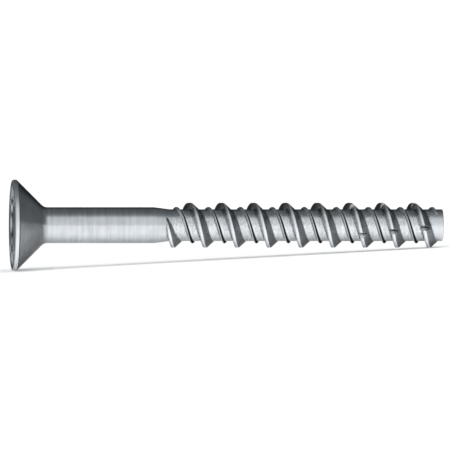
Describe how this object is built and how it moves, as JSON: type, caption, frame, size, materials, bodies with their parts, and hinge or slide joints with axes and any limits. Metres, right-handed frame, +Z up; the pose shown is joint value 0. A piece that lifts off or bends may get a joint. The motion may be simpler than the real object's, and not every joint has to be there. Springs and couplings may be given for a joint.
{
  "type": "concrete screw",
  "caption": "Countersunk concrete screw with a lobed drive recess, plain shank and coarse thread with cutting notches, driven straight into a drilled hole.",
  "frame": {"origin": "middle of the bounding box on the table that the screw lies on", "axes": "+X from the head towards the plain end, +Z up; the screw's own axis dips 3.17 degrees below +X, because the head is wider than the thread"},
  "size_m": [0.0956, 0.02, 0.02],
  "materials": {
    "steel": "zinc plated, satin"
  },
  "bodies": {
    "root": {"screw": "steel"}
  },
  "joints": []
}
